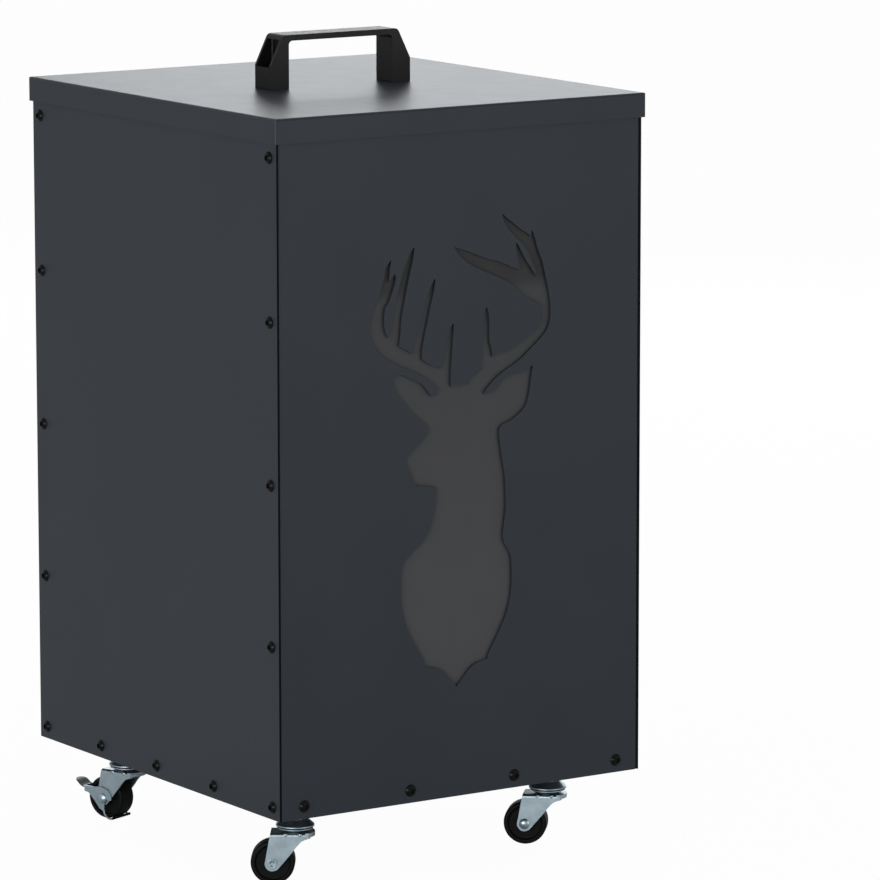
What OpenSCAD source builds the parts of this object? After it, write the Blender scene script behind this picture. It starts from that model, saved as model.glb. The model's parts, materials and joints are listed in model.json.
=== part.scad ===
// Pellet storage bin: a folded sheet-steel box on four swivel casters, with a
// lift-off lid, a bridge handle and a trophy-head cut-out in the front panel.
// Millimetres. X runs across the front, -Y is the front, Z is up from the floor.

/* [Body] */
// Width of the body over its side panels
body_w = 358; // [320:2:440]
// Depth of the body over its front and back panels
body_d = 394; // [340:2:460]
// Height of the body panels
body_h = 575; // [540:5:700]
// Thickness of the body and lid sheet
sheet_t = 1.5; // [1:0.1:2]
// Outside radius of the folds in the body sheet
fold_r = 2.4; // [2.2:0.1:4]
// Depth of the side flanges folded back from the front and back panels
side_flange = 20; // [18:0.5:26]
// Width of the flange folded in along the top edges
top_flange = 12; // [8:0.5:18]
// Height of the flanges folded up around the bottom plate
pan_flange = 22; // [18:0.5:30]

/* [Screws] */
// Distance of the side screws from the body's front and back
screw_inset = 11.5; // [10:0.5:14]
// Distance of the lowest screws above the bottom edge
bottom_screw_z = 10.5; // [9.5:0.1:12]
// Distance of the top side screws below the panel tops
top_screw_drop = 31; // [26:0.5:60]
// Rows of side screws along each upright edge
screw_rows = 5; // [3:1:7]
// Screws along the bottom edge of each side panel
screw_columns = 5; // [3:1:7]
// Screws along the bottom edge of the front and back panels
front_screw_count = 4; // [2:1:6]
// Distance of the outer front screws from the body sides
front_screw_inset = 23.5; // [22:0.5:40]
// Thread diameter of the body and handle screws
screw_d = 6; // [5:0.5:6]
// Diameter of the domed screw heads
head_d = 10.5; // [9.5:0.1:11]
// Height of the domed screw heads
head_h = 3.3; // [2.6:0.1:3.6]
// Hexagon key size of the screw sockets
socket_af = 4; // [3:0.5:4.5]
// Width across flats of the nuts
nut_af = 10; // [9:0.5:10]
// Thickness of the nuts
nut_h = 5; // [4:0.5:5.5]

/* [Trophy head cut-out] */
// Height of the cut-out from the shield's tip to the highest antler tip
stag_h = 391; // [330:1:420]
// Height of the shield's tip above the bottom edge of the front panel
stag_z = 93; // [70:1:110]
// Place of the cut-out's middle, to the right of the front panel's middle
stag_x = -1; // [-6:0.5:6]
// Air gap between the front panel and the middle of the backing plate
backing_gap = 1; // [0.6:0.1:2]
// Margin of the backing plate around the cut-out
backing_margin = 24; // [18:1:30]
// Width of the backing plate's rim that is welded to the front panel
backing_rim = 12; // [8:1:14]

/* [Lid] */
// Clearance between the lid's rim and the body on each side
lid_clearance = 1.5; // [1:0.1:2.5]
// Outside height of the lid's rim
lid_rim_h = 20.5; // [15:0.5:26]
// Outside radius of the lid's folds and corners
lid_fold_r = 2.6; // [2.2:0.1:4]

/* [Handle] */
// Length of the handle over its feet
handle_l = 139; // [125:1:160]
// Width of the handle
handle_w = 25; // [22:0.5:32]
// Height of the handle above the lid
handle_h = 45.5; // [40:0.5:50]
// Length of each foot along the handle
foot_l = 18; // [17:0.5:22]
// Thickness of the handle's grip bar
grip_t = 5; // [4:0.5:7]
// Height at which the handle's ends start to slope
slope_z = 20; // [18:0.5:24]
// Run of each sloped end
slope_run = 12.5; // [10:0.5:13.5]
// Thickness of the walls around the screw pockets
pocket_wall = 2.5; // [2:0.1:3.5]
// Thickness of the foot below each screw pocket
pocket_floor = 6; // [4:0.5:9]

/* [Casters] */
// Height from the floor to the underside of the body
caster_h = 69.5; // [68:0.5:76]
// Distance of the caster stems from the body sides
caster_inset_x = 52; // [45:1:70]
// Distance of the caster stems from the body's front and back
caster_inset_y = 60; // [45:1:80]
// Diameter of the wheels
wheel_d = 37; // [34:0.5:38]
// Width of the wheels at the tread
wheel_w = 17.5; // [13:0.5:18]
// Distance of the axle behind the swivel axis
trail = 18.5; // [16:0.5:20]
// Thickness of the pressed fork
fork_t = 1.8; // [1.5:0.1:2.2]
// Gap between the fork and the wheel's hub on each side
hub_gap = 0.5; // [0.3:0.1:1]
// Diameter of the axle
axle_d = 6; // [5:0.5:6.5]
// Diameter of the threaded stem
stem_d = 12; // [10:0.5:12]
// Width across flats of the stem collar and its nuts
stem_af = 18; // [17:0.5:19]
// Direction in which the front left wheel trails
front_left_angle = 145; // [0:1:360]
// Direction in which the front right wheel trails
front_right_angle = 139; // [0:1:360]
// Direction in which the rear left wheel trails
rear_left_angle = 111; // [0:1:360]
// Direction in which the rear right wheel trails
rear_right_angle = 128; // [0:1:360]
// Thickness of the brake lever's sheet
lever_t = 1.2; // [1:0.1:1.5]
// Width of the brake lever's pedal
pedal_w = 13; // [10:0.5:16]
// Length of the pedal beyond the lever's bridge
pedal_l = 18; // [14:0.5:22]

/* [Hidden] */
$fn = 48;

// Cuts run this far past the faces that they open
past = 1;

// Body: planes and fits
side_x = body_w / 2;
front_y = body_d / 2;
inner_w = body_w - 2 * sheet_t;
inner_d = body_d - 2 * sheet_t;
corner_relief = 1;
fold_top = body_h - fold_r - corner_relief;

// Screws: clearances and lengths
hole_d = screw_d + 0.5;
nut_bore = screw_d + 0.1;
thread_past_nut = 2;
side_screw_l = 2 * sheet_t + nut_h + thread_past_nut;
socket_depth = head_h * 0.6;
washer_t = 1.2;
washer_d = 14;

// Trophy head: how it is drawn
tip_w = 0.8;
curve_steps = 3;

// Lid
lid_w = body_w + 2 * (lid_clearance + sheet_t);
lid_d = body_d + 2 * (lid_clearance + sheet_t);
lid_z = body_h + sheet_t;

// Handle
foot_x = handle_l / 2 - foot_l / 2 - 0.5;
pocket_l = foot_l - 2 * pocket_wall - 1;
end_wall_drop = 1.5;
pocket_top = handle_h - 4;
handle_fillet = 3.5;
handle_screw_l = pocket_floor + sheet_t + washer_t + nut_h + thread_past_nut;

// Casters: heights above the floor and radii about the swivel axis
run_gap = 0.3;
pin_gap = 0.1;

// Wheel
wheel_r = wheel_d / 2;
axle_z = wheel_r;
axle_r = axle_d / 2;
axle_gap = 0.08;
hub_proud = 0.7;
hub_r = 6.2;
face_dish = 2.2;
face_draft = 0.9;
rim_w = 3.6;
tread_round = 2.2;

// Fork: crown, legs and the cup for the lower ball track
leg_in = wheel_w / 2 + hub_proud + hub_gap;
leg_out = leg_in + fork_t;
fork_fold_r = 2.6;
fork_headroom = 7.3;
crown_z = wheel_d + fork_headroom;
crown_r = 16.5;
crown_tail = trail + 1.7;
skirt_h = 3.5;
eye_r = 6.4;
gusset_r = 2;
gusset_sink = 1.5;
GUSSETS = [-4.5, 7.5];
cup_h = 4;
cup_r = 15;
cup_foot_r = 9.6;
cup_rim_h = 1.2;
track_depth = 0.7;
track_gap = 0.2;

// Balls and upper race
race_gap = 0.4;
race_r = 16;
race_t = 1.2;
ball_r = 1.8;
ball_ring_r = 11.6;
ball_count = 14;
ball_z = crown_z + cup_h - track_depth + ball_r;
dish_z = crown_z + cup_h + race_gap;
dish_h = 6.4;
dish_top = dish_z + dish_h;
dish_rim_h = 1.4;
dish_shoulder_r = 10.4;

// Stem and its nuts
kingpin_r = 5;
kingpin_head_r = 7.5;
kingpin_head_h = 2.2;
collar_h = 4.8;
lock_nut_h = caster_h - dish_top - collar_h;
stem_nut_h = 9;
stem_washer_t = 2;
stem_washer_d = 24;
stem_past_nut = 3;
stem_top = caster_h + sheet_t + stem_washer_t + stem_nut_h + stem_past_nut;
stem_bore = stem_d + 0.2;
stem_hole = stem_d + 0.5;

// Riveted axle
rivet_head_r = 4.7;
rivet_head_h = 1.9;
rivet_tail_r = 4.1;
rivet_tail_h = 1.2;
rivet_cone_r = 3.4;
rivet_cone_foot_r = 1.6;

// Brake lever, drawn about the axle
lever_gap = 0.3;
lever_in = leg_out + lever_gap;
lever_out = lever_in + lever_t;
lever_fold_r = 2.2;
bridge_u = wheel_r + 0.9;
bridge_end = bridge_u + lever_t;
bridge_low = 4.4;
bridge_high = 9.2;
pedal_z = 5.8;
pedal_rise = 5.5;

// Numbers for the four casters: place, trailing direction, brake
caster_x = side_x - caster_inset_x;
caster_y = front_y - caster_inset_y;
FRONT_LEFT = [-caster_x, -caster_y, front_left_angle, false];
FRONT_RIGHT = [caster_x, -caster_y, front_right_angle, false];
REAR_LEFT = [-caster_x, caster_y, rear_left_angle, true];
REAR_RIGHT = [caster_x, caster_y, rear_right_angle, true];
CASTERS = [FRONT_LEFT, FRONT_RIGHT, REAR_LEFT, REAR_RIGHT];

// Finishes
paint = [0.21, 0.23, 0.25];
backing_paint = [0.26, 0.26, 0.26];
black = [0.13, 0.13, 0.14];
zinc = [0.68, 0.71, 0.73];

// Curves and rounded outlines

function unit(v) = v / norm(v);

// Point at t on the smooth curve between b and c, with neighbours a and d
function on_curve(a, b, c, d, t) =
    0.5 * (2 * b + (c - a) * t + (2 * a - 5 * b + 4 * c - d) * t * t
    + (3 * b - a - 3 * c + d) * t * t * t);

// Smooth curve through every knot
function smooth(knots, steps = curve_steps) = [
    for (i = [0 : len(knots) - 2], k = [0 : steps - 1])
        on_curve(
            knots[max(i - 1, 0)], knots[i], knots[i + 1],
            knots[min(i + 2, len(knots) - 1)], k / steps),
    knots[len(knots) - 1]
];

function reversed(list) = [for (i = [len(list) - 1 : -1 : 0]) list[i]];

// Outline of a stroke: smooth centre line of [x, z, width] knots
function stroke_side(line, side) = [
    for (i = [0 : len(line) - 1])
        let (
            a = line[max(i - 1, 0)],
            b = line[min(i + 1, len(line) - 1)],
            along = unit([b[0] - a[0], b[1] - a[1]])
        )
        [line[i][0], line[i][1]] + side * line[i][2] / 2 * [-along[1], along[0]]
];

function stroke(knots) =
    let (line = smooth(knots))
    concat(stroke_side(line, 1), reversed(stroke_side(line, -1)));

// Rounded corner at b, between neighbours a and c, with radius r
function corner(a, b, c, r, steps = 6) =
    r == 0 ? [b] :
    let (
        u = unit(a - b),
        w = unit(c - b),
        half = acos(u * w) / 2,
        centre = b + unit(u + w) * (r / sin(half)),
        p = b + u * (r / tan(half)) - centre,
        q = b + w * (r / tan(half)) - centre,
        start = atan2(p[1], p[0]),
        turn = atan2(p[0] * q[1] - p[1] * q[0], p * q)
    )
    [for (i = [0 : steps])
        centre + r * [cos(start + turn * i / steps), sin(start + turn * i / steps)]];

// Outline through corners given as [x, y, radius]
function rounded(corners) = [
    for (i = [0 : len(corners) - 1])
        let (
            before = corners[(i + len(corners) - 1) % len(corners)],
            here = corners[i],
            after = corners[(i + 1) % len(corners)]
        )
        each corner(
            [before[0], before[1]], [here[0], here[1]], [after[0], after[1]],
            here[2])
];

// Solid slab of a shape drawn as [x, z], standing between two values of y
module standing(y_low, y_high) {
    translate([0, y_high, 0])
        rotate([90, 0, 0])
        linear_extrude(y_high - y_low)
        children();
}

// Trophy head outline, drawn with the cut-out's middle at x = 0 and the
// shield's tip at z = 0

shield_x = -5;
shield_top = 111.5;
shield_top_half = 50.5;
neck_sink = 3.5;
SHIELD_HALF = [
    [[0, 0], [6.5, 7], [12.5, 13.5], [18.5, 17.5], [24.5, 19], [30.5, 20]],
    [[30.5, 20], [32, 25], [37.5, 34], [44, 45], [49, 55], [52.5, 65.5],
     [54.5, 77], [55, 89], [54.5, 101], [53, 107], [shield_top_half, shield_top]]
];
NECK_RIGHT = [
    [shield_x + shield_top_half, shield_top], [42.5, 116], [41, 123],
    [42.5, 135], [44, 147], [43.5, 162], [43, 172], [41, 183], [39, 195],
    [37.5, 205], [37.3, 213]
];
RIGHT_EAR_LOWER = [
    [41, 216.5], [48, 218.5], [55, 222.3], [61, 226.8], [65, 232.5],
    [67.5, 241.5], [69, 252], [71.3, 263]
];
RIGHT_EAR_UPPER = [
    [62, 258.5], [55, 257.5], [48, 257], [42, 254.5], [37, 250], [33, 245.5],
    [28, 243.5], [22, 243.5]
];
SKULL_TOP = [
    [21, 250], [18, 256], [10, 253.5], [4, 252.4], [-2, 252], [-10, 252.5],
    [-24, 250], [-24.5, 246.5], [-29, 245.5]
];
LEFT_EAR_UPPER = [
    [-31, 247], [-34, 251], [-38, 255.5], [-43, 259], [-49, 261.5],
    [-54, 264], [-60, 266.5], [-66, 266]
];
LEFT_EAR_LOWER = [
    [-67.5, 261], [-66.5, 256.5], [-63, 250.5], [-58, 244], [-53, 238.5],
    [-47, 232], [-41, 227.5], [-36, 223.5], [-33.5, 219.5]
];
FACE = [
    [-34, 215.5], [-37, 211.5], [-43, 206.5], [-50, 201], [-54, 196.5],
    [-55.5, 193], [-53, 188], [-50, 183], [-48.5, 178.5], [-45.5, 174],
    [-44, 172.5], [-35, 171.5], [-26, 170]
];
THROAT = [
    [-25, 165], [-25.5, 157], [-27.5, 148], [-30, 139], [-34, 131],
    [-40, 124], [-47, 119], [shield_x - shield_top_half, shield_top]
];

// Antlers: [x, z, width] along each beam and tine, from its root to its tip
LEFT_BEAM = [
    [-14, 246, 10], [-22, 260.5, 15], [-32.5, 266.2, 11.6],
    [-45, 273.5, 12.6], [-62, 282, 14.6], [-74, 289.5, 14.6],
    [-81, 298.5, 15], [-82.8, 309, 14.2], [-80.8, 320.5, 11.4],
    [-76.5, 331, 8.5]
];
RIGHT_BEAM = [
    [12, 248, 20], [25, 258.3, 15.4], [36.3, 267, 17], [47.2, 270.5, 13.2],
    [57.7, 275.7, 11.2], [67.2, 282.2, 9.8], [76.5, 289, 8.6],
    [82.2, 295.5, 8.6], [84.2, 304, 8.6], [83.6, 313, 9.4],
    [81.6, 322, 10.6], [79.4, 334, 9.6], [77.6, 343, 8.6],
    [74.8, 351.5, 9.4]
];
TINES = [
    // left antler, outermost first
    [[-77.5, 328, 7], [-75, 340, 6], [-73, 348, 5], [-72.2, 354, 4.5],
     [-68.8, 361, tip_w]],
    [[-77, 326, 9], [-72.2, 334, 8], [-68.3, 342, 6.2], [-66.2, 345.5, 4.2],
     [-65, 349.5, tip_w]],
    [[-68, 288, 12], [-65.8, 297, 11], [-64.4, 303, 9.6],
     [-62.8, 314, 8.4], [-59.9, 327, 8.2], [-57, 338, 7.6],
     [-54.4, 348, 7.2], [-51, 357.5, 5.8], [-49.2, 363, 4.4],
     [-46.4, 370, tip_w]],
    [[-43, 275, 8], [-43, 286, 8.6], [-41.2, 293, 8], [-39.2, 300, 7],
     [-36.6, 309, 6.6], [-34.1, 318, 5.8], [-31.1, 328, 5.4],
     [-28.4, 336, 4], [-26, 342.5, tip_w]],
    [[-15.5, 250, 9], [-15.3, 266, 9.4], [-14, 274, 8], [-12.5, 284, 6.6],
     [-10.4, 296, 4.6], [-8, 304.5, tip_w]],
    // right antler, innermost first
    [[25, 262, 10], [25.2, 277, 10], [24.4, 283, 8], [24, 289, 6.8],
     [24.2, 297, 6.4], [24.6, 305, 5.4], [24.8, 310, 4], [24.6, 315, tip_w]],
    [[83, 314, 6], [72, 325.5, 17], [62, 333, 17.5], [52.3, 338.8, 13.5],
     [44.8, 342.2, 12.5], [34.5, 346.8, 12.2], [25, 350, 10.8],
     [14.8, 354.3, 10], [5.5, 359, 8.4], [-1, 362.8, 5.4],
     [-6.5, 367, tip_w]],
    [[70, 331, 14], [62.6, 345.5, 9.4], [59.7, 352, 6.6], [57.1, 358, 5],
     [55.5, 363, 3], [54.2, 366.5, tip_w]],
    [[75.6, 347, 8], [71.6, 358, 9.6], [64.5, 368, 9.8], [56.5, 374, 8.2],
     [49.8, 379.8, 7], [44.8, 385, 4.8], [40.6, 391, tip_w]],
    [[73, 354, 7], [71.2, 366, 5.6], [70.4, 371, 3.2], [70.1, 375.5, tip_w]]
];

// The drawing's own height and half width, and the scale that brings it to size
stag_drawn_h = max([for (tine = TINES, knot = tine) knot[1]]);
stag_drawn_half = 90;
stag_scale = stag_h / stag_drawn_h;
stag_half_w = stag_drawn_half * stag_scale;

// Front edge of the fork's legs, seen from the side: [u, z], with u behind
// the swivel axis
FORK_THROAT = [
    [-race_r, crown_z - skirt_h], [-7.1, crown_z - 6.1],
    [-2, crown_z - 10.9], [1, crown_z - 14.9], [trail - 15.4, crown_z - 17.5]
];

// Brake lever's arms, seen from the side: [u, z, corner radius] about the axle
LEVER_ARM = [
    [bridge_end, bridge_high, 1], [10, bridge_high, 6], [1.5, 10.2, 5],
    [-6, 8, 4], [-10, 2.6, 3], [-10.4, -1, 1], [-2.4, -1, 0.4],
    [-2.4, -11.6, 1], [2.6, -9.4, 4], [8.4, -2.8, 6], [14.6, 3.4, 5],
    [bridge_end, bridge_low, 1]
];

// Pedal's dip and rise, as shares of its length and of its rise
PEDAL_CURVE = [[0, 0], [0.3, 0], [0.52, 0.24], [0.76, 0.8], [1, 1]];

function row(count, low, high) = [
    for (i = [0 : count - 1]) low + (high - low) * i / (count - 1)
];

// Places of the side screws as [y, z], upright columns first, then the row
// along the bottom between them
side_rows = row(screw_rows, bottom_screw_z, body_h - top_screw_drop);
side_columns = row(
    screw_columns, -front_y + screw_inset, front_y - screw_inset);
SIDE_POINTS = concat(
    [for (y = [-front_y + screw_inset, front_y - screw_inset], z = side_rows)
        [y, z]],
    [for (i = [1 : screw_columns - 2]) [side_columns[i], bottom_screw_z]]
);
FRONT_POINTS = [
    for (x = row(
        front_screw_count, -side_x + front_screw_inset,
        side_x - front_screw_inset))
        [x, bottom_screw_z]
];

// Sheet metal

// Cross-section of a sheet folded up at both ends, on its web at y = 0
module channel_section(width, depth, t = sheet_t, r = fold_r) {
    difference() {
        folded_block(width, depth, r);
        translate([0, t]) folded_block(width - 2 * t, depth, r - t);
    }
}

module folded_block(width, depth, r) {
    translate([-width / 2 + r, 0]) square([width - 2 * r, depth]);
    translate([-width / 2, r]) square([width, depth - r]);
    for (side = [-1, 1])
        translate([side * (width / 2 - r), r]) circle(r);
}

// Cross-section of a panel's top edge folded in, with its face at y = 0 and
// its top at z = 0
module top_fold_section() {
    drop = fold_r + corner_relief + past;
    translate([0, -drop]) square([sheet_t, drop - fold_r]);
    translate([fold_r, -sheet_t]) square([top_flange - fold_r, sheet_t]);
    intersection() {
        translate([fold_r, -fold_r]) difference() {
            circle(fold_r);
            circle(fold_r - sheet_t);
        }
        translate([0, -fold_r]) square(fold_r);
    }
}

module top_fold(length) {
    rotate([90, 0, 90])
        translate([0, 0, -length / 2])
        linear_extrude(length)
        top_fold_section();
}

module trophy_head() {
    scale(stag_scale) {
        for (side = [-1, 1])
            translate([shield_x, 0])
                polygon(concat(
                    [for (p = smooth(SHIELD_HALF[0])) [side * p[0], p[1]]],
                    [for (p = smooth(SHIELD_HALF[1])) [side * p[0], p[1]]],
                    [[-side * past, shield_top], [-side * past, 2 * past]]));
        polygon(concat(
            [[shield_x + shield_top_half, shield_top - neck_sink]],
            smooth(NECK_RIGHT), smooth(RIGHT_EAR_LOWER),
            smooth(RIGHT_EAR_UPPER), SKULL_TOP, smooth(LEFT_EAR_UPPER),
            smooth(LEFT_EAR_LOWER), smooth(FACE), smooth(THROAT),
            [[shield_x - shield_top_half, shield_top - neck_sink]]));
        polygon(stroke(LEFT_BEAM));
        polygon(stroke(RIGHT_BEAM));
        for (tine = TINES)
            polygon(stroke(tine));
    }
}

// Holes along Y through the front or back panel and the bottom plate
module front_holes(depth) {
    for (p = FRONT_POINTS)
        translate([p[0], -front_y - past, p[1]])
            rotate([-90, 0, 0])
            cylinder(d = hole_d, h = depth + past);
}

// Holes along X through the left side panel and what it is screwed to
module side_holes(depth) {
    for (p = SIDE_POINTS)
        translate([-side_x - past, p[0], p[1]])
            rotate([0, 90, 0])
            cylinder(d = hole_d, h = depth + past);
}

// Front panel shape without the cut-out, which the back panel shares
module end_panel() {
    difference() {
        translate([0, -front_y, 0]) union() {
            linear_extrude(fold_top)
                channel_section(inner_w, side_flange);
            translate([0, 0, body_h])
                top_fold(inner_w - 2 * (fold_r + corner_relief));
        }
        front_holes(sheet_t + past);
        side_holes(2 * sheet_t + past);
        mirror([1, 0, 0]) side_holes(2 * sheet_t + past);
    }
}

module side_panel() {
    fold_l = body_d - 2 * (top_flange + sheet_t + corner_relief);
    end_l = (body_d - fold_l) / 2;
    difference() {
        translate([-side_x, 0, 0]) union() {
            translate([0, -front_y, 0]) cube([sheet_t, body_d, fold_top]);
            for (y = [-front_y, front_y - end_l])
                translate([0, y, 0]) cube([sheet_t, end_l, body_h]);
            translate([0, 0, body_h])
                rotate([0, 0, -90]) top_fold(fold_l);
        }
        side_holes(sheet_t + past);
    }
}

module raised(height = caster_h) {
    translate([0, 0, height]) children();
}

module front_panel() {
    color(paint) raised() difference() {
        end_panel();
        translate([stag_x, 0, stag_z])
            standing(-front_y - past, -front_y + sheet_t + past)
            trophy_head();
    }
}

module back_panel() {
    color(paint) raised() rotate([0, 0, 180]) end_panel();
}

module left_side_panel() {
    color(paint) raised() side_panel();
}

module right_side_panel() {
    color(paint) raised() mirror([1, 0, 0]) side_panel();
}

// Plate behind the cut-out, joggled so that its rim meets the front panel
module stag_backing_plate() {
    width = 2 * (stag_half_w + backing_margin);
    height = stag_h + 2 * backing_margin;
    face_y = -front_y + sheet_t;
    color(backing_paint) raised(caster_h + stag_z - backing_margin)
        translate([stag_x - width / 2, face_y, 0])
        difference() {
            cube([width, sheet_t + backing_gap, height]);
            translate([backing_rim, -past, backing_rim])
                cube([
                    width - 2 * backing_rim, backing_gap + past,
                    height - 2 * backing_rim]);
            difference() {
                translate([-past, sheet_t, -past])
                    cube([width + 2 * past, sheet_t + past, height + 2 * past]);
                translate([backing_rim - sheet_t, 0, backing_rim - sheet_t])
                    cube([
                        width - 2 * (backing_rim - sheet_t),
                        2 * sheet_t + backing_gap + past,
                        height - 2 * (backing_rim - sheet_t)]);
            }
        }
}

// Bottom plate: one flat sheet with a flange folded up on each side
module bottom_plate() {
    across = inner_w - 2 * (sheet_t + corner_relief);
    along = body_d - 2 * (side_flange + corner_relief);
    color(paint) raised() difference() {
        union() {
            translate([-across / 2, 0, 0])
                rotate([90, 0, 90])
                linear_extrude(across)
                channel_section(inner_d, pan_flange);
            translate([0, along / 2, 0])
                rotate([90, 0, 0])
                linear_extrude(along)
                channel_section(inner_w, pan_flange);
        }
        for (turn = [0, 180]) rotate([0, 0, turn]) {
            front_holes(2 * sheet_t + past);
            side_holes(2 * sheet_t + past);
        }
        for (c = CASTERS)
            translate([c[0], c[1], -past])
                cylinder(d = stem_hole, h = sheet_t + 2 * past);
    }
}

// Fasteners

// Domed screw with a hexagon socket, head up, its seat at z = 0
module domed_screw(length) {
    dome_r = (head_d * head_d / 4 + head_h * head_h) / (2 * head_h);
    difference() {
        union() {
            intersection() {
                translate([0, 0, head_h - dome_r]) sphere(dome_r);
                cylinder(d = head_d, h = head_h);
            }
            translate([0, 0, -length]) cylinder(d = screw_d, h = length);
        }
        translate([0, 0, head_h - socket_depth])
            cylinder(d = socket_af / cos(30), h = socket_depth + past, $fn = 6);
    }
}

// Hexagon nut on its face at z = 0, with chamfered corners
module hex_nut(af, height, bore) {
    corner_d = af / cos(30);
    chamfer = (corner_d - af) / 4;
    difference() {
        intersection() {
            cylinder(d = corner_d, h = height, $fn = 6);
            rotate_extrude()
                polygon([
                    [0, 0], [af / 2, 0], [corner_d / 2, chamfer],
                    [corner_d / 2, height - chamfer], [af / 2, height],
                    [0, height]]);
        }
        translate([0, 0, -past]) cylinder(d = bore, h = height + 2 * past);
    }
}

module flat_washer(outer, bore, thickness) {
    difference() {
        cylinder(d = outer, h = thickness);
        translate([0, 0, -past]) cylinder(d = bore, h = thickness + 2 * past);
    }
}

// One child at each side screw of the left panel, turned to point outward
module at_side_points() {
    for (p = SIDE_POINTS)
        translate([-side_x, p[0], p[1]]) rotate([0, -90, 0]) children();
}

// One child at each front screw, turned to point outward
module at_front_points() {
    for (p = FRONT_POINTS)
        translate([p[0], -front_y, p[1]]) rotate([90, 0, 0]) children();
}

module left_side_screws() {
    color(black) raised() at_side_points() domed_screw(side_screw_l);
}

module right_side_screws() {
    color(black) raised() rotate([0, 0, 180]) at_side_points()
        domed_screw(side_screw_l);
}

module front_screws() {
    color(black) raised() at_front_points() domed_screw(side_screw_l);
}

module back_screws() {
    color(black) raised() rotate([0, 0, 180]) at_front_points()
        domed_screw(side_screw_l);
}

module body_nut() {
    translate([0, 0, -2 * sheet_t - nut_h]) hex_nut(nut_af, nut_h, nut_bore);
}

module left_side_nuts() {
    color(zinc) raised() at_side_points() body_nut();
}

module right_side_nuts() {
    color(zinc) raised() rotate([0, 0, 180]) at_side_points() body_nut();
}

module front_nuts() {
    color(zinc) raised() at_front_points() body_nut();
}

module back_nuts() {
    color(zinc) raised() rotate([0, 0, 180]) at_front_points() body_nut();
}

// Lid

// Block with every outer edge of its top and sides rounded, open below
module lid_block(width, depth, height, r) {
    intersection() {
        translate([0, depth / 2, 0]) rotate([90, 0, 0]) linear_extrude(depth)
            folded_top(width, height, r);
        translate([-width / 2, 0, 0]) rotate([90, 0, 90]) linear_extrude(width)
            folded_top(depth, height, r);
        linear_extrude(height) union() {
            square([width - 2 * r, depth], center = true);
            square([width, depth - 2 * r], center = true);
            for (x = [-1, 1], y = [-1, 1])
                translate([x * (width / 2 - r), y * (depth / 2 - r)]) circle(r);
        }
    }
}

module folded_top(width, height, r) {
    translate([0, height]) mirror([0, 1]) folded_block(width, height, r);
}

module lid_panel() {
    color(paint) raised(caster_h + lid_z - lid_rim_h) difference() {
        lid_block(lid_w, lid_d, lid_rim_h, lid_fold_r);
        translate([0, 0, -past])
            lid_block(
                lid_w - 2 * sheet_t, lid_d - 2 * sheet_t,
                lid_rim_h - sheet_t + past, lid_fold_r - sheet_t);
        for (x = [-foot_x, foot_x])
            translate([x, 0, 0]) cylinder(d = hole_d, h = lid_rim_h + past);
    }
}

// Handle

module handle_outline() {
    end = handle_l / 2;
    foot = end - foot_l;
    top_x = end - slope_run;
    polygon(rounded([
        [-end, 0, 0.6], [-end, slope_z, 2], [-top_x, handle_h, 5],
        [top_x, handle_h, 5], [end, slope_z, 2], [end, 0, 0.6],
        [foot, 0, 0.6], [foot, handle_h - grip_t, handle_fillet],
        [-foot, handle_h - grip_t, handle_fillet], [-foot, 0, 0.6]]));
}

// Screw pocket in the right-hand foot, open through the sloped end
module handle_pocket() {
    half_w = handle_w / 2 - pocket_wall;
    low_x = foot_x - pocket_l / 2;
    high_x = foot_x + pocket_l / 2;
    translate([0, 0, pocket_floor])
        linear_extrude(pocket_top - pocket_floor)
        polygon(rounded([
            [low_x, -half_w, 1], [high_x, -half_w, 1],
            [high_x, half_w, 1], [low_x, half_w, 1]]));
    translate([low_x + 2, -half_w, slope_z - end_wall_drop])
        cube([
            foot_l + past, 2 * half_w, pocket_top - slope_z + end_wall_drop]);
    translate([foot_x, 0, -past])
        cylinder(d = hole_d, h = pocket_floor + 2 * past);
}

module lid_handle() {
    color(black) raised(caster_h + lid_z) difference() {
        standing(-handle_w / 2, handle_w / 2) handle_outline();
        handle_pocket();
        mirror([1, 0, 0]) handle_pocket();
    }
}

// One child below the lid at each handle screw, its top at the height given
module at_handle_screws(z) {
    for (x = [-foot_x, foot_x])
        translate([x, 0, z]) children();
}

module handle_screws() {
    color(black) raised(caster_h + lid_z)
        at_handle_screws(pocket_floor) domed_screw(handle_screw_l);
}

module handle_washers() {
    color(zinc) raised(caster_h + lid_z)
        at_handle_screws(-sheet_t - washer_t)
        flat_washer(washer_d, hole_d, washer_t);
}

module handle_nuts() {
    color(zinc) raised(caster_h + lid_z)
        at_handle_screws(-sheet_t - washer_t - nut_h)
        hex_nut(nut_af, nut_h, nut_bore);
}

// Casters: every piece is drawn with the swivel axis at the origin, trailing
// along +X, and turned into place

module at_caster(c) {
    translate([c[0], c[1], 0]) rotate([0, 0, c[2]]) children();
}

// Turned stem: hexagon collar, threaded end above, riveted end below
module stem(c) {
    head_z = crown_z - fork_t - run_gap - kingpin_head_h;
    color(zinc) at_caster(c) {
        translate([0, 0, dish_top])
            cylinder(d = stem_af / cos(30), h = collar_h, $fn = 6);
        translate([0, 0, dish_top]) cylinder(d = stem_d, h = stem_top - dish_top);
        translate([0, 0, head_z])
            cylinder(r = kingpin_r, h = dish_top + past - head_z);
        translate([0, 0, head_z]) cylinder(r = kingpin_head_r, h = kingpin_head_h);
    }
}

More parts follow.
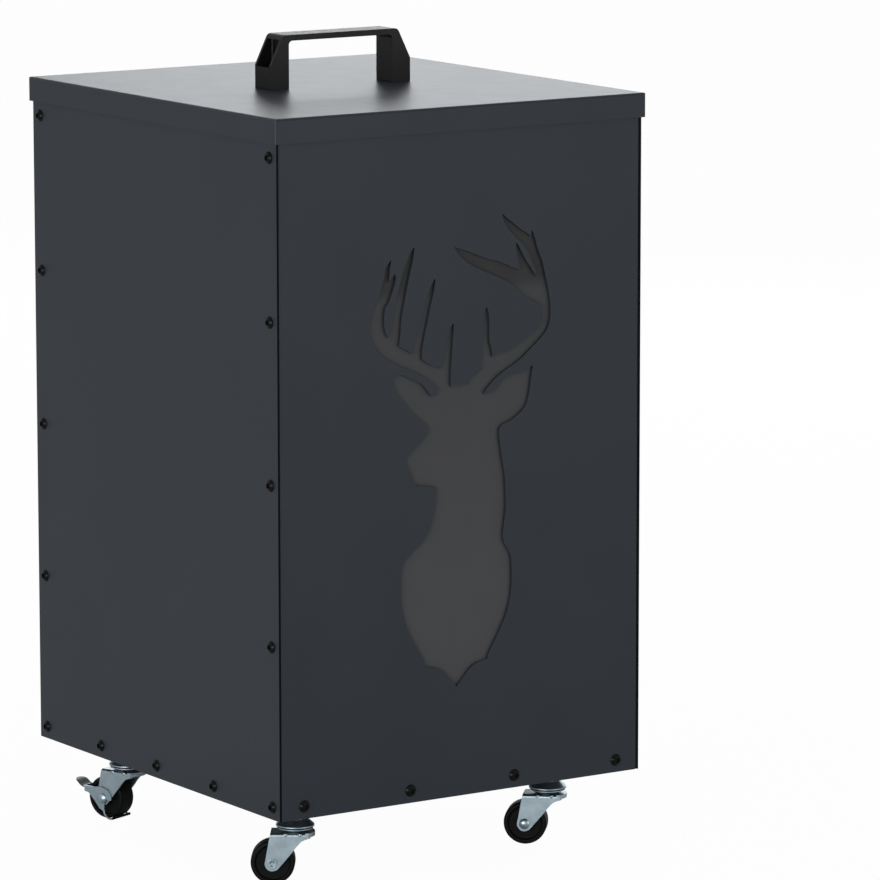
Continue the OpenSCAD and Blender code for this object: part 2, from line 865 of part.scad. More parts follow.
// Upper race: a pressed dish under the stem's collar, over the balls
module race(c) {
    bore_r = kingpin_r + pin_gap;
    inner_r = race_r - race_t;
    color(zinc) at_caster(c)
        rotate_extrude() polygon([
            [bore_r, dish_top - race_t],
            [dish_shoulder_r - race_t, dish_top - race_t],
            [inner_r, dish_z + dish_rim_h - race_t / 3],
            [inner_r, dish_z], [race_r, dish_z],
            [race_r, dish_z + dish_rim_h], [dish_shoulder_r, dish_top],
            [bore_r, dish_top]]);
}

module balls(c) {
    color(zinc) at_caster(c)
        for (i = [0 : ball_count - 1])
            rotate([0, 0, 360 * i / ball_count])
            translate([ball_ring_r, 0, ball_z])
            sphere(ball_r, $fn = 24);
}

// Leg of the fork, seen from the side
module fork_side() {
    toe = 4.1;
    difference() {
        union() {
            polygon(concat(
                [[crown_tail, crown_z], [trail + eye_r, axle_z],
                 [trail, axle_z], [trail - eye_r + 1.4, axle_z - toe]],
                reversed(smooth(FORK_THROAT)), [[-race_r, crown_z]]));
            translate([trail, axle_z]) circle(eye_r);
        }
        translate([trail, axle_z]) circle(axle_r + 0.05);
    }
}

// Fork's strip of sheet: a channel folded down at both sides, cut to the
// outline of the legs, and round in front
module fork_channel() {
    intersection() {
        standing(-leg_out, leg_out) fork_side();
        translate([-crown_r - past, 0, crown_z])
            rotate([90, 0, 90])
            linear_extrude(crown_r + trail + eye_r + 2 * past)
            mirror([0, 1])
            channel_section(2 * leg_out, crown_z, fork_t, fork_fold_r);
        union() {
            cylinder(r = crown_r, h = crown_z);
            translate([0, -leg_out, 0]) cube([2 * trail, 2 * leg_out, crown_z]);
        }
    }
}

// Round skirt that closes the front of the channel, between the legs
module fork_skirt() {
    translate([0, 0, crown_z - skirt_h]) intersection() {
        difference() {
            cylinder(r = crown_r, h = skirt_h);
            translate([0, 0, -past])
                cylinder(r = crown_r - fork_t, h = skirt_h + 2 * past);
        }
        translate([-crown_r - past, -leg_out, 0])
            cube([crown_r + past, 2 * leg_out, skirt_h]);
    }
}

// Pressed fork: channel, skirt, gussets in its folds and the cup of its ball
// track
module fork(c) {
    color(zinc) at_caster(c) difference() {
        union() {
            fork_channel();
            fork_skirt();
            for (u = GUSSETS, side = [-1, 1])
                translate([
                    u, side * (leg_out - gusset_sink), crown_z - gusset_sink])
                    sphere(gusset_r);
            rotate_extrude() polygon([
                [0, crown_z], [cup_foot_r, crown_z],
                [cup_r, crown_z + cup_h - cup_rim_h],
                [cup_r, crown_z + cup_h], [0, crown_z + cup_h]]);
        }
        rotate_extrude()
            translate([ball_ring_r, ball_z]) circle(ball_r + track_gap);
        translate([0, 0, crown_z - skirt_h])
            cylinder(r = kingpin_r + run_gap, h = skirt_h + cup_h + past);
        translate([0, 0, crown_z + cup_h / 2])
            cylinder(r = ball_ring_r - race_t, h = cup_h);
    }
}

// Riveted axle: domed head on one side, peened tail on the other
module axle(c) {
    seat = c[3] ? lever_out + lever_gap : leg_out;
    dome_r = (rivet_head_r ^ 2 + rivet_head_h ^ 2) / (2 * rivet_head_h);
    head_side = c[3] ? -1 : c[0] < 0 ? 1 : -1;
    color(zinc) at_caster(c) translate([trail, 0, axle_z])
        rotate([90 * head_side, 0, 0]) {
            translate([0, 0, -seat]) cylinder(r = axle_r, h = 2 * seat);
            translate([0, 0, seat]) intersection() {
                translate([0, 0, rivet_head_h - dome_r]) sphere(dome_r);
                cylinder(r = rivet_head_r, h = rivet_head_h);
            }
            translate([0, 0, -seat - rivet_tail_h]) difference() {
                cylinder(r = rivet_tail_r, h = rivet_tail_h);
                translate([0, 0, -past])
                    cylinder(
                        r1 = rivet_cone_r, r2 = rivet_cone_foot_r,
                        h = past + rivet_tail_h);
            }
        }
}

// One-piece wheel with dished faces and a hub that stands a little proud
module wheel(c) {
    half = wheel_w / 2;
    hub_half = half + hub_proud;
    right = [
        [axle_r + axle_gap, hub_half, 0], [hub_r, hub_half, 0.6],
        [hub_r + face_draft, half - face_dish, 1],
        [wheel_r - rim_w - face_draft, half - face_dish, 1],
        [wheel_r - rim_w, half, 0.8],
        [wheel_r - pin_gap, half, tread_round], [wheel_r, 0, 0]
    ];
    left = [for (p = reversed(right)) if (p[1] > 0) [p[0], -p[1], p[2]]];
    color(black) at_caster(c) translate([trail, 0, axle_z])
        rotate([90, 0, 0])
        rotate_extrude()
        polygon(rounded(concat(right, left)));
}

// Brake lever: a channel with two arms on the axle, its bridge behind the
// wheel, and a dished pedal
module brake_lever(c) {
    pedal_line = [
        for (share = PEDAL_CURVE)
            [bridge_u + share[0] * pedal_l, pedal_z + share[1] * pedal_rise,
             lever_t]
    ];
    color(zinc) at_caster(c) translate([trail, 0, axle_z]) {
        difference() {
            intersection() {
                standing(-lever_out, lever_out) polygon(rounded(LEVER_ARM));
                translate([bridge_end, 0, -wheel_r])
                    linear_extrude(wheel_d)
                    rotate(90)
                    channel_section(
                        2 * lever_out, wheel_d, lever_t, lever_fold_r);
            }
            rotate([90, 0, 0])
                translate([0, 0, -2 * lever_out])
                cylinder(r = axle_r + axle_gap, h = 4 * lever_out);
        }
        intersection() {
            standing(-pedal_w / 2, pedal_w / 2) polygon(stroke(pedal_line));
            linear_extrude(wheel_r) polygon(rounded([
                [bridge_u, -pedal_w / 2, 0],
                [bridge_u + pedal_l, -pedal_w / 2, pedal_w / 2 - pin_gap],
                [bridge_u + pedal_l, pedal_w / 2, pedal_w / 2 - pin_gap],
                [bridge_u, pedal_w / 2, 0]]));
        }
    }
}

// Nuts and washers of the four stems

module caster_lock_nuts() {
    color(zinc) for (c = CASTERS)
        at_caster(c) translate([0, 0, caster_h - lock_nut_h])
            hex_nut(stem_af, lock_nut_h, stem_bore);
}

module caster_washers() {
    color(zinc) for (c = CASTERS)
        at_caster(c) translate([0, 0, caster_h + sheet_t])
            flat_washer(stem_washer_d, stem_hole, stem_washer_t);
}

module caster_nuts() {
    color(zinc) for (c = CASTERS)
        at_caster(c) translate([0, 0, caster_h + sheet_t + stem_washer_t])
            hex_nut(stem_af, stem_nut_h, stem_bore);
}

front_panel();
stag_backing_plate();
back_panel();
left_side_panel();
right_side_panel();
bottom_plate();
left_side_screws();
right_side_screws();
front_screws();
back_screws();
left_side_nuts();
right_side_nuts();
front_nuts();
back_nuts();
lid_panel();
lid_handle();
handle_screws();
handle_washers();
handle_nuts();
caster_lock_nuts();
caster_washers();
caster_nuts();
stem(FRONT_LEFT);  // front_left_stem
race(FRONT_LEFT);  // front_left_race
balls(FRONT_LEFT);  // front_left_balls
fork(FRONT_LEFT);  // front_left_fork
axle(FRONT_LEFT);  // front_left_axle
wheel(FRONT_LEFT);  // front_left_wheel
stem(FRONT_RIGHT);  // front_right_stem
race(FRONT_RIGHT);  // front_right_race
balls(FRONT_RIGHT);  // front_right_balls
fork(FRONT_RIGHT);  // front_right_fork
axle(FRONT_RIGHT);  // front_right_axle
wheel(FRONT_RIGHT);  // front_right_wheel
stem(REAR_LEFT);  // rear_left_stem
race(REAR_LEFT);  // rear_left_race
balls(REAR_LEFT);  // rear_left_balls
fork(REAR_LEFT);  // rear_left_fork
axle(REAR_LEFT);  // rear_left_axle
wheel(REAR_LEFT);  // rear_left_wheel
brake_lever(REAR_LEFT);  // rear_left_brake_lever
stem(REAR_RIGHT);  // rear_right_stem
race(REAR_RIGHT);  // rear_right_race
balls(REAR_RIGHT);  // rear_right_balls
fork(REAR_RIGHT);  // rear_right_fork
axle(REAR_RIGHT);  // rear_right_axle
wheel(REAR_RIGHT);  // rear_right_wheel
brake_lever(REAR_RIGHT);  // rear_right_brake_lever
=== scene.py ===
"""Pellet storage bin: its finishes, its small forms and the studio around it, in metres."""

import json
import math

import bmesh
import bpy
from mathutils import Matrix, Vector

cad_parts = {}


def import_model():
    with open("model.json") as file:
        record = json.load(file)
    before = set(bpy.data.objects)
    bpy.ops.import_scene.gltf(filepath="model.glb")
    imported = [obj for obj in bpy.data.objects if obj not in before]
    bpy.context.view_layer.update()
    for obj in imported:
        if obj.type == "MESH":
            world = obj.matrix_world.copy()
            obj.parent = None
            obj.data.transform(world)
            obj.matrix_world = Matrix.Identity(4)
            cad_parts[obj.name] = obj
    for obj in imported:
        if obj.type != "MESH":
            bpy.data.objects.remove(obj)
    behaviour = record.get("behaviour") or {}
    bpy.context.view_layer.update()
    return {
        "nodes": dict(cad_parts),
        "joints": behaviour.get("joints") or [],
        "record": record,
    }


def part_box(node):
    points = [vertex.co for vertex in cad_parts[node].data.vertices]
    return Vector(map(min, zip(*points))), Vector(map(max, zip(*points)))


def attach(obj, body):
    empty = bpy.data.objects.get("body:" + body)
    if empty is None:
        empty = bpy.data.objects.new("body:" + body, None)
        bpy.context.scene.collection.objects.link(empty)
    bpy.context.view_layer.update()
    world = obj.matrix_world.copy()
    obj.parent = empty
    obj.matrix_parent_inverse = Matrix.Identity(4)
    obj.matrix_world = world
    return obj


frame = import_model()
nodes = frame["nodes"]

# One millimetre
MM = 0.001

CASTERS = ("front_left", "front_right", "rear_left", "rear_right")
BRAKED_CASTERS = ("rear_left", "rear_right")
SIDE_PANELS = ("left_side_panel", "right_side_panel")
SHEETS = ("front_panel", "back_panel", *SIDE_PANELS, "lid_panel", "bottom_plate", "stag_backing_plate")
SCREWS = ("left_side_screws", "right_side_screws", "front_screws", "back_screws", "handle_screws")


# Materials: colours are linear, and patches and grain are measured in metres

# Gloss of the coat, and the painted shade of the corner gap along the side panels' cut edges: its
# colour, its gloss, how deep it is, and over what length it fades
COAT_SPECULAR = 0.22
SEAM_SHADE = (0.004, 0.0042, 0.005)
SEAM_SPECULAR = 0.02
SEAM_DEPTH = 0.5 * MM
SEAM_FADE = 0.2 * MM

# Levels between which the backing plate is painted paler low down and darker upward, as light falls on it,
# and over which its top fades into painted shade
BACKING_PAINTED_LIGHT = (0.24, 0.57)
BACKING_SHADE = (0.488, 0.499)

# Levels of the painted shade on the ball race: in the gap between its two rims, and on the cup's foot
RACE_GAP = (48.5 * MM, 49.25 * MM)
CUP_GAP = (47.8 * MM, 48.5 * MM)
CUP_FOOT = (44.9 * MM, 47.15 * MM)

# A band of painted shade is evenly dark over this share of its half height, in this colour
SHADE_BAND_CORE = 0.85
SHADE_BAND_DARK = (0.03, 0.034, 0.038)

# Darker end of a brake pedal: how far from the axle it starts, over what length, its colour
PEDAL_DARK_START = 27 * MM
PEDAL_FADE = 1 * MM
PEDAL_DARK = (0.06, 0.066, 0.066)

# Nearly all values of a noise lie between the first two, and most between the others
NOISE_LOW, NOISE_HIGH = 0.3, 0.7
CLOUD_LOW, CLOUD_HIGH = 0.35, 0.65


class Look:
    """A node material under construction: calls that return something return a node's output."""

    def __init__(self, name, colour, roughness, metallic=0.0, specular=0.5):
        self.material = bpy.data.materials.new(name)
        self.material.use_nodes = True
        tree = self.material.node_tree
        self.nodes, self.links = tree.nodes, tree.links
        self.shader = self.nodes["Principled BSDF"]
        self.shader.inputs["Base Color"].default_value = (*colour, 1)
        self.shader.inputs["Metallic"].default_value = metallic
        self.shader.inputs["Roughness"].default_value = roughness
        self.shader.inputs["Specular IOR Level"].default_value = specular
        self.place = self.nodes.new("ShaderNodeTexCoord").outputs["Object"]

    def noise(self, size, detail):
        """Noise whose features are about `size` metres across."""
        node = self.nodes.new("ShaderNodeTexNoise")
        node.inputs["Scale"].default_value = 1 / size
        node.inputs["Detail"].default_value = detail
        self.links.new(self.place, node.inputs["Vector"])
        return node.outputs["Fac"]

    def cells(self, size):
        """Distance from the middles of cells about `size` metres across."""
        node = self.nodes.new("ShaderNodeTexVoronoi")
        node.inputs["Scale"].default_value = 1 / size
        self.links.new(self.place, node.inputs["Vector"])
        return node.outputs["Distance"]

    def remap(self, value, low, high, to_low=0, to_high=1):
        """The value, moved from one range to another and held inside it."""
        node = self.nodes.new("ShaderNodeMapRange")
        for name, number in (("From Min", low), ("From Max", high), ("To Min", to_low), ("To Max", to_high)):
            node.inputs[name].default_value = number
        self.links.new(value, node.inputs["Value"])
        return node.outputs["Result"]

    def along(self, axis):
        """Place along X, Y or Z."""
        node = self.nodes.new("ShaderNodeSeparateXYZ")
        self.links.new(self.place, node.inputs["Vector"])
        return node.outputs[axis]

    def size_of(self, value):
        """The value without its sign."""
        node = self.nodes.new("ShaderNodeMath")
        node.operation = "ABSOLUTE"
        self.links.new(value, node.inputs[0])
        return node.outputs[0]

    def distance(self, point):
        """Distance from the point."""
        node = self.nodes.new("ShaderNodeVectorMath")
        node.operation = "DISTANCE"
        node.inputs[1].default_value = point
        self.links.new(self.place, node.inputs[0])
        return node.outputs["Value"]

    def mix(self, share, first, second):
        """Colour between two colours or colour sockets."""
        node = self.nodes.new("ShaderNodeMix")
        node.data_type = "RGBA"
        self.links.new(share, node.inputs["Factor"])
        for name, colour in (("A", first), ("B", second)):
            socket = next(s for s in node.inputs if s.name == name and s.type == "RGBA")
            if isinstance(colour, tuple):
                socket.default_value = (*colour, 1)
            else:
                self.links.new(colour, socket)
        return next(s for s in node.outputs if s.type == "RGBA")

    def feed(self, socket, value):
        """Drives one of the shader's inputs."""
        self.links.new(value, self.shader.inputs[socket])

    def clouds(self, size, detail, first, second, high=CLOUD_HIGH):
        """Soft patches of two colours, about `size` metres across."""
        return self.mix(self.remap(self.noise(size, detail), CLOUD_LOW, high), first, second)

    def vary_roughness(self, size, detail, least, most):
        """Roughness that wanders from `least` to `most` in patches about `size` metres across."""
        self.feed("Roughness", self.remap(self.noise(size, detail), NOISE_LOW, NOISE_HIGH, least, most))

    def bump(self, height, depth, strength):
        """Relief up to `depth` metres high."""
        node = self.nodes.new("ShaderNodeBump")
        node.inputs["Strength"].default_value = strength
        node.inputs["Distance"].default_value = depth
        self.links.new(height, node.inputs["Height"])
        self.feed("Normal", node.outputs["Normal"])

    def grain(self, size, detail, depth, strength):
        """Uneven relief with features about `size` metres across."""
        self.bump(self.noise(size, detail), depth, strength)


def graphite_paint(name="graphite_paint", seam_y=None):
    """Fine-textured satin powder coat, a little clouded, and with painted shade of the corner gap on the cut
    edges beyond `seam_y`.
    """
    look = Look(name, (0.017, 0.0218, 0.0292), roughness=0.4, specular=COAT_SPECULAR)
    coat = look.clouds(
        size=90 * MM, detail=3, first=(0.0168, 0.0215, 0.0286), second=(0.0184, 0.0234, 0.031))
    if seam_y is not None:
        # Painted shade of the gap at the corners, on the cut edges beyond seam_y
        seam_shade = look.remap(look.size_of(look.along("Y")), seam_y, seam_y + SEAM_FADE)
        coat = look.mix(seam_shade, coat, SEAM_SHADE)
        look.feed("Specular IOR Level", look.remap(seam_shade, 0, 1, COAT_SPECULAR, SEAM_SPECULAR))
    look.feed("Base Color", coat)
    look.vary_roughness(size=20 * MM, detail=3, least=0.392, most=0.408)
    look.grain(size=1.1 * MM, detail=2, depth=0.03 * MM, strength=0.3)
    return look.material


def backing_paint():
    """The plate behind the cut-out: a duller coat, with painted light that makes it paler toward the shield,
    and painted shade at the top.
    """
    look = Look("backing_paint", (0.04, 0.04, 0.042), roughness=0.6, specular=0.25)
    # Painted light: paler low on the plate, darker upward
    height = look.remap(look.along("Z"), *BACKING_PAINTED_LIGHT)
    coat = look.mix(height, (0.047, 0.048, 0.051), (0.033, 0.034, 0.037))
    # Painted shade over the plate's top
    top = look.remap(look.along("Z"), *BACKING_SHADE)
    look.feed("Base Color", look.mix(top, coat, (0.021, 0.0215, 0.0225)))
    look.vary_roughness(size=20 * MM, detail=4, least=0.55, most=0.64)
    look.grain(size=1.1 * MM, detail=2, depth=0.03 * MM, strength=0.3)
    return look.material


def black_steel():
    """Black oxide on the screws' heads."""
    look = Look("black_steel", (0.0022, 0.0022, 0.0027), roughness=0.24, specular=0.12)
    look.vary_roughness(size=2 * MM, detail=3, least=0.22, most=0.3)
    look.grain(size=0.6 * MM, detail=2, depth=0.02 * MM, strength=0.3)
    return look.material


def zinc_plate(name="zinc_plate", shade_bands=(), pedal_from=None):
    """Bright blue zinc on pressed steel, faintly clouded, and dark with painted shade in the given bands of
    level.

    Each band of painted shade is its lowest and highest level in metres. A brake lever's pedal is
    darker at its end, far from the lever's axle `pedal_from`.
    """
    look = Look(name, (0.38, 0.47, 0.52), roughness=0.36, metallic=1.0)
    zinc = look.clouds(
        size=9 * MM, detail=3, first=(0.335, 0.42, 0.468), second=(0.395, 0.48, 0.528), high=0.68)
    for low, high in shade_bands:
        # Each band is painted shade, darkest over its core
        from_middle = look.size_of(look.remap(look.along("Z"), low, high, -1, 1))
        zinc = look.mix(look.remap(from_middle, SHADE_BAND_CORE, 1, 1, 0), zinc, SHADE_BAND_DARK)
    if pedal_from is not None:
        # The pedal's end is painted darker
        end = look.remap(look.distance(pedal_from), PEDAL_DARK_START, PEDAL_DARK_START + PEDAL_FADE)
        zinc = look.mix(end, zinc, PEDAL_DARK)
    look.feed("Base Color", zinc)
    look.vary_roughness(size=6 * MM, detail=3, least=0.3, most=0.4)
    look.grain(size=3 * MM, detail=2, depth=0.03 * MM, strength=0.2)
    return look.material


def bearing_steel():
    """Polished balls."""
    look = Look("bearing_steel", (0.66, 0.66, 0.67), roughness=0.12, metallic=1.0)
    look.vary_roughness(size=1 * MM, detail=2, least=0.08, most=0.16)
    return look.material


def handle_plastic():
    """Glass-filled nylon with a fine spark-eroded texture."""
    look = Look("handle_plastic", (0.0036, 0.0036, 0.0046), roughness=0.44, specular=0.27)
    look.feed("Base Color", look.clouds(
        size=20 * MM, detail=4, first=(0.0032, 0.0032, 0.0042), second=(0.004, 0.004, 0.0051)))
    look.vary_roughness(size=4 * MM, detail=3, least=0.38, most=0.5)
    look.bump(look.cells(0.6 * MM), depth=0.02 * MM, strength=0.4)
    return look.material


def wheel_plastic():
    """Hard black plastic, a little scuffed."""
    look = Look("wheel_plastic", (0.003, 0.0034, 0.0033), roughness=0.5, specular=0.1)
    look.vary_roughness(size=3 * MM, detail=3, least=0.44, most=0.56)
    look.grain(size=0.9 * MM, detail=3, depth=0.02 * MM, strength=0.3)
    return look.material


FINISH = {
    "graphite_paint": graphite_paint(),
    "backing_paint": backing_paint(),
    "black_steel": black_steel(),
    "zinc_plate": zinc_plate(),
    "bearing_steel": bearing_steel(),
    "handle_plastic": handle_plastic(),
    "wheel_plastic": wheel_plastic(),
}


def roll_of(caster):
    """The middle and the direction of the caster's axle."""
    roll = next(joint for joint in frame["joints"] if joint["name"] == caster + "_roll")
    return Vector(roll["pos_m"]), Vector(roll["axis"])


def paint_nodes():
    """Every node gets the finish of its own material slot, and some a special one of it."""
    for entry in frame["record"]["subparts"]:
        mesh = nodes[entry["node"]].data
        mesh.materials.clear()
        mesh.materials.append(FINISH[entry["material_slot"]])
    # The side panels' cut edges get painted shade of the corner gap
    panel_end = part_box("left_side_panel")[1][1]
    seam_shaded = graphite_paint("graphite_paint_seam_shaded", panel_end - SEAM_DEPTH)
    for node in SIDE_PANELS:
        nodes[node].data.materials[0] = seam_shaded
    # Painted shade in the gap between the race's and the cup's rims, and on the cup's foot
    race_zinc = zinc_plate("zinc_plate_race", (RACE_GAP,))
    fork_zinc = zinc_plate("zinc_plate_fork", (CUP_GAP, CUP_FOOT))
    for caster in CASTERS:
        nodes[caster + "_race"].data.materials[0] = race_zinc
        nodes[caster + "_fork"].data.materials[0] = fork_zinc
    for caster in BRAKED_CASTERS:
        axle, _ = roll_of(caster)
        lever_zinc = zinc_plate("zinc_plate_" + caster + "_lever", pedal_from=axle)
        nodes[caster + "_brake_lever"].data.materials[0] = lever_zinc


# Edges: folds, pressings and mouldings have no knife edges

# Corners of faces that lie closer together than this are one corner
WELD_GAP = 0.002 * MM

# Faces that turn less than the first are one flat face, and edges that turn more than the others
# are rounded, or crisp on a sheet
FLAT_ANGLE = math.radians(0.6)
ROUND_ANGLE = math.radians(28)
CRISP_ANGLE = math.radians(30)

# How far the large faces lead in the shading of an edge, from 1 to 100
LARGE_FACES_LEAD = 100

# Width of the rounded edges of each kind of piece, and the steps that round them
HANDLE_EDGE = (0.5 * MM, 3)
SCREW_EDGE = (0.15 * MM, 2)
LEVER_EDGE = (0.3 * MM, 3)
STIRRUP_EDGE = (0.2 * MM, 2)
CASTER_EDGES = {
    "fork": (0.35 * MM, 3),
    "stem": (0.25 * MM, 2),
    "race": (0.25 * MM, 2),
    "wheel": (0.25 * MM, 2),
    "axle": (0.2 * MM, 2),
}


def weld(shown):
    """Joins the faces of a node along the seams between them."""
    joined = shown.modifiers.new("weld", "WELD")
    joined.merge_threshold = WELD_GAP
    shown.data.shade_smooth()


def even_shading(shown):
    """Lets the large faces at an edge settle how the light falls across it."""
    normals = shown.modifiers.new("shading", "WEIGHTED_NORMAL")
    normals.weight = LARGE_FACES_LEAD


def keep_flat(node):
    """A large sheet: smooth folds, flat faces and crisp cut edges."""
    shown = nodes[node]
    weld(shown)
    crisp = shown.modifiers.new("crisp", "EDGE_SPLIT")
    crisp.split_angle = CRISP_ANGLE
    even_shading(shown)


def round_edges(shown, width, steps):
    """Rounds the sharp edges of an object by `width` metres."""
    bevel = shown.modifiers.new("bevel", "BEVEL")
    bevel.width = width
    bevel.segments = steps
    bevel.limit_method = "ANGLE"
    bevel.angle_limit = ROUND_ANGLE
    even_shading(shown)


def soften(node, width, steps):
    """Rounds a node's edges, once the triangles of its flat faces are joined."""
    shown = nodes[node]
    weld(shown)
    flat = shown.modifiers.new("flat", "DECIMATE")
    flat.decimate_type = "DISSOLVE"
    flat.angle_limit = FLAT_ANGLE
    round_edges(shown, width, steps)


def finish_edges():
    """The edges of every node but the nuts, washers and balls."""
    for node in SHEETS:
        keep_flat(node)
    soften("lid_handle", *HANDLE_EDGE)
    for node in SCREWS:
        soften(node, *SCREW_EDGE)
    for caster in CASTERS:
        for piece, edge in CASTER_EDGES.items():
            soften(caster + "_" + piece, *edge)
    for caster in BRAKED_CASTERS:
        soften(caster + "_brake_lever", *LEVER_EDGE)


# Brake stirrups: a claw goes on from the tip of each arm of a brake lever, round and down almost
# to the floor in front of the wheel, and a black pad joins the two. Places are (u, z) from the
# axle, and u is positive behind it.

# The claws' inner and outer faces along the axle, from the wheel's middle
CLAW_FACES = (12.1 * MM, 13.2 * MM)

# Each claw is a quarter of a ring, drawn out to a tip
CLAW_CENTRE = (-9.0 * MM, -9.7 * MM)
CLAW_INNER_RADIUS = 6.6 * MM
CLAW_OUTER_RADIUS = 8.4 * MM
CLAW_TIP = (-11.0 * MM, -17.9 * MM)
CLAW_STEPS = 12

# Outline of the pad: its top from the back to the lip in front, then its sole
PAD_SECTION = (
    (-8.5 * MM, -17.05 * MM), (-9.7 * MM, -16.4 * MM), (-10.9 * MM, -15.5 * MM),
    (-11.5 * MM, -15.6 * MM), (-11.2 * MM, -17.9 * MM), (-8.5 * MM, -18.05 * MM))


def quarter(radius):
    """Quarter turn about the claw's centre, from level behind it to straight below it."""
    turns = [math.pi / 2 * step / CLAW_STEPS for step in range(CLAW_STEPS + 1)]
    return [
        (CLAW_CENTRE[0] + radius * math.cos(turn), CLAW_CENTRE[1] - radius * math.sin(turn))
        for turn in turns]


def prism(mesh, outline, low, high, axle, across):
    """Closed slab of the outline, from `low` to `high` along the axle's direction `across`."""
    behind = Vector((across.y, -across.x, 0))
    ends = []
    for level in (low, high):
        ends.append([
            mesh.verts.new(axle + u * behind + level * across + Vector((0, 0, z))) for u, z in outline])
    mesh.faces.new(ends[0])
    mesh.faces.new(list(reversed(ends[1])))
    for i in range(len(outline)):
        j = (i + 1) % len(outline)
        mesh.faces.new((ends[0][j], ends[0][i], ends[1][i], ends[1][j]))


def stirrup_piece(name, made, caster, slot):
    """Turns the mesh under construction into a piece of the caster's brake lever."""
    bmesh.ops.recalc_face_normals(made, faces=made.faces)
    mesh = bpy.data.meshes.new(name)
    made.to_mesh(mesh)
    made.free()
    mesh.materials.append(FINISH[slot])
    mesh.shade_smooth()
    piece = bpy.data.objects.new(name, mesh)
    bpy.context.scene.collection.objects.link(piece)
    round_edges(piece, *STIRRUP_EDGE)
    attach(piece, caster + "_brake")


def brake_stirrup(caster):
    """The claws and the pad of a caster's brake lever."""
    axle, across = roll_of(caster)
    inner, outer = CLAW_FACES
    claw = quarter(CLAW_OUTER_RADIUS) + [CLAW_TIP] + list(reversed(quarter(CLAW_INNER_RADIUS)))
    claws = bmesh.new()
    prism(claws, claw, inner, outer, axle, across)
    prism(claws, claw, -outer, -inner, axle, across)
    stirrup_piece(caster + "_brake_claws", claws, caster, "zinc_plate")
    pad = bmesh.new()
    prism(pad, PAD_SECTION, -inner, inner, axle, across)
    stirrup_piece(caster + "_brake_pad", pad, caster, "wheel_plastic")


# Studio

# The photograph's view: the camera looks down a little, from the left of the front. It aims at a
# point that lies to the right of the middle of the body's bottom, and above it, as the view sees it.
VIEW_AZIMUTH = math.radians(-33.46)
VIEW_ELEVATION = math.radians(9.54)
VIEW_ROLL = math.radians(-0.05)
VIEW_DISTANCE = 4.964
VIEW_AIM_RIGHT = 0.08996
VIEW_AIM_UP = 0.26831
VIEW_LENS_MM = 236.03
VIEW_SENSOR_MM = 36
VIEW_FURTHEST = 100

# Light from all around, and the floor: half its side, its grey, its gloss, and how white it is
# to the camera alone
WORLD_STRENGTH = 0.6
FLOOR_HALF = 20
FLOOR_GREY = 0.8
FLOOR_ROUGHNESS = 0.9
FLOOR_SPECULAR = 0.1
FLOOR_WHITE_SHARE = 0.97


def camera():
    """Sees the bin as the photograph does."""
    data = bpy.data.cameras.new("camera")
    data.lens = VIEW_LENS_MM
    data.sensor_width = VIEW_SENSOR_MM
    data.clip_end = VIEW_FURTHEST
    shown = bpy.data.objects.new("camera", data)
    bpy.context.scene.collection.objects.link(shown)
    back = Vector((
        math.sin(VIEW_AZIMUTH) * math.cos(VIEW_ELEVATION),
        -math.cos(VIEW_AZIMUTH) * math.cos(VIEW_ELEVATION),
        math.sin(VIEW_ELEVATION)))
    right = Vector((math.cos(VIEW_AZIMUTH), math.sin(VIEW_AZIMUTH), 0))
    up = back.cross(right)
    body_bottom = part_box("front_panel")[0][2]
    aim = Vector((0, 0, body_bottom)) + VIEW_AIM_RIGHT * right + VIEW_AIM_UP * up
    turn = Matrix.Rotation(VIEW_ROLL, 3, back)
    axes = Matrix((turn @ right, turn @ up, back)).transposed()
    shown.matrix_world = Matrix.Translation(aim + VIEW_DISTANCE * back) @ axes.to_4x4()
    bpy.context.scene.camera = shown


def lamp(name, place, aim, size, watts, colour=(1, 1, 1)):
    """A soft box of `size` metres at `place` that faces `aim`."""
    data = bpy.data.lights.new(name, "AREA")
    data.shape = "RECTANGLE"
    data.size, data.size_y = size
    data.energy = watts
    data.color = colour
    shown = bpy.data.objects.new(name, data)
    bpy.context.scene.collection.objects.link(shown)
    shown.location = place
    shown.rotation_mode = "QUATERNION"
    shown.rotation_quaternion = (Vector(aim) - Vector(place)).to_track_quat("-Z", "Y")


def white_to_the_eye(tree, lit, white, share=1):
    """Mixes `white` over the `lit` shader by `share`, for camera rays alone."""
    path = tree.nodes.new("ShaderNodeLightPath")
    seen = tree.nodes.new("ShaderNodeMath")
    seen.operation = "MULTIPLY"
    seen.inputs[1].default_value = share
    tree.links.new(path.outputs["Is Camera Ray"], seen.inputs[0])
    choice = tree.nodes.new("ShaderNodeMixShader")
    tree.links.new(seen.outputs[0], choice.inputs["Fac"])
    tree.links.new(lit.outputs[0], choice.inputs[1])
    tree.links.new(white.outputs[0], choice.inputs[2])
    return choice.outputs[0]


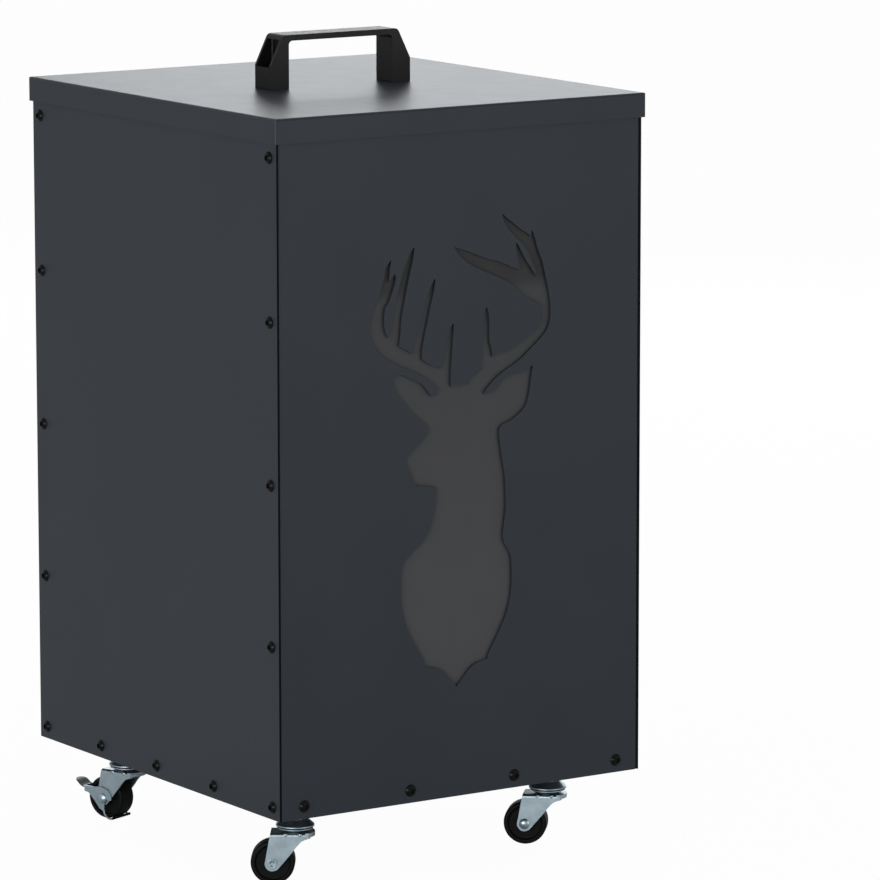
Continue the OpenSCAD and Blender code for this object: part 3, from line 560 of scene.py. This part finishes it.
def world():
    """Even light on the bin from all around, and white to the camera."""
    made = bpy.data.worlds.new("studio")
    made.use_nodes = True
    tree = made.node_tree
    lit = tree.nodes["Background"]
    lit.inputs["Color"].default_value = (1, 1, 1, 1)
    lit.inputs["Strength"].default_value = WORLD_STRENGTH
    white = tree.nodes.new("ShaderNodeBackground")
    white.inputs["Color"].default_value = (1, 1, 1, 1)
    tree.links.new(white_to_the_eye(tree, lit, white), tree.nodes["World Output"].inputs["Surface"])
    bpy.context.scene.world = made


def floor():
    """Pale floor that takes the bin's shadow, and is nearly white to the camera."""
    corners = [(x * FLOOR_HALF, y * FLOOR_HALF, 0) for x, y in ((-1, -1), (1, -1), (1, 1), (-1, 1))]
    mesh = bpy.data.meshes.new("floor")
    mesh.from_pydata(corners, [], [(0, 1, 2, 3)])
    shown = bpy.data.objects.new("floor", mesh)
    bpy.context.scene.collection.objects.link(shown)
    material = bpy.data.materials.new("floor")
    material.use_nodes = True
    tree = material.node_tree
    lit = tree.nodes["Principled BSDF"]
    lit.inputs["Base Color"].default_value = (FLOOR_GREY, FLOOR_GREY, FLOOR_GREY, 1)
    lit.inputs["Roughness"].default_value = FLOOR_ROUGHNESS
    lit.inputs["Specular IOR Level"].default_value = FLOOR_SPECULAR
    white = tree.nodes.new("ShaderNodeEmission")
    tree.links.new(
        white_to_the_eye(tree, lit, white, FLOOR_WHITE_SHARE),
        tree.nodes["Material Output"].inputs["Surface"])
    mesh.materials.append(material)


def studio():
    bpy.context.scene.view_settings.view_transform = "Standard"
    camera()
    world()
    floor()
    lamp("key", place=(-3.4, -2.0, 0.62), aim=(0, 0, 0.22), size=(2.4, 1.4), watts=73)
    lamp("fill", place=(1.5, -4.0, 0.7), aim=(0.05, 0, 0.2), size=(2.4, 1.8), watts=24.5)
    lamp(
        "back", place=(2.65, 2.25, 1.35), aim=(0.1, 0, 0.65), size=(3.2, 1.4), watts=37,
        colour=(0.93, 0.97, 1))


paint_nodes()
finish_edges()
for braked in BRAKED_CASTERS:
    brake_stirrup(braked)
studio()
